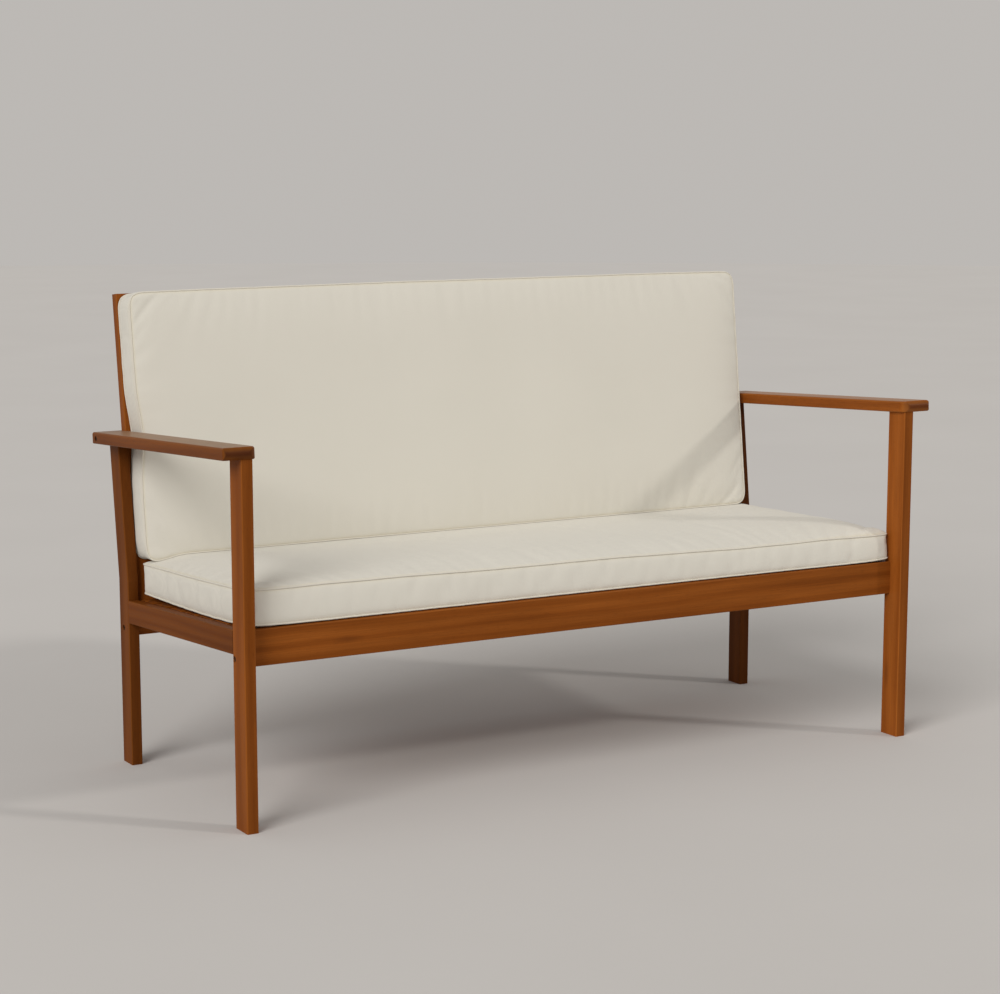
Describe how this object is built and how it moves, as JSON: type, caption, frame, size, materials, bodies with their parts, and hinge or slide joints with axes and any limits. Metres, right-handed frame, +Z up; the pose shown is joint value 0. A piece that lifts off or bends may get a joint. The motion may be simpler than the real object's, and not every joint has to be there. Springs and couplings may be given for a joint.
{
  "type": "patio loveseat",
  "caption": "Slatted hardwood patio loveseat with flat sloping arms, a leaning slatted back and loose boxed seat and back cushions.",
  "frame": {"origin": "on the floor, below the middle of the whole piece's bounding box", "axes": "+X towards the sitter's left-hand arm as seen from the front on the right, +Y from the front edge to the back, +Z up; the front faces -Y"},
  "size_m": [1.39, 0.6022, 0.8363],
  "materials": {
    "stained_wood": "oiled hardwood, warm orange brown, satin",
    "peg_wood": "plain beech dowel, hidden in the joints",
    "fastener_steel": "dark plated steel, slightly dull",
    "cushion_cover": "woven polyester, off-white, matt",
    "cushion_foam": "open-cell foam, hidden in the cover"
  },
  "bodies": {
    "frame": {"front_leg_left": "stained_wood", "front_leg_right": "stained_wood", "rear_leg_left": "stained_wood", "rear_leg_right": "stained_wood", "side_rail_left": "stained_wood", "side_rail_right": "stained_wood", "arm_left": "stained_wood", "arm_right": "stained_wood", "seat_cleat_left": "stained_wood", "seat_cleat_right": "stained_wood", "back_stile_left": "stained_wood", "back_stile_right": "stained_wood", "front_rail": "stained_wood", "rear_rail": "stained_wood", "centre_bearer": "stained_wood", "seat_slat_1": "stained_wood", "seat_slat_2": "stained_wood", "seat_slat_3": "stained_wood", "seat_slat_4": "stained_wood", "seat_slat_5": "stained_wood", "seat_slat_6": "stained_wood", "seat_slat_7": "stained_wood", "back_top_rail": "stained_wood", "back_bottom_rail": "stained_wood", "back_slat_1": "stained_wood", "back_slat_2": "stained_wood", "back_slat_3": "stained_wood", "back_slat_4": "stained_wood", "back_slat_5": "stained_wood", "back_slat_6": "stained_wood", "back_slat_7": "stained_wood", "back_slat_8": "stained_wood", "back_slat_9": "stained_wood", "rail_pegs": "peg_wood", "side_rail_pegs": "peg_wood", "arm_pegs": "peg_wood", "back_frame_pegs": "peg_wood", "bearer_pegs": "peg_wood", "rail_bolts": "fastener_steel", "barrel_nuts": "fastener_steel", "arm_bolts": "fastener_steel", "back_frame_screws": "fastener_steel", "cleat_screws": "fastener_steel", "slat_screws": "fastener_steel"},
    "seat_cushion": {"seat_cushion": "cushion_cover", "seat_cushion_foam": "cushion_foam"},
    "back_cushion": {"back_cushion": "cushion_cover", "back_cushion_foam": "cushion_foam"}
  },
  "joints": [
    {"name": "seat_cushion_pull", "type": "slide", "parent": "frame", "child": "seat_cushion", "axis": [0, -0.9979, 0.0645], "range_m": [0, 0.25]},
    {"name": "back_cushion_lift", "type": "slide", "parent": "frame", "child": "back_cushion", "axis": [0, 0.1236, 0.9923], "range_m": [0, 0.3]}
  ]
}
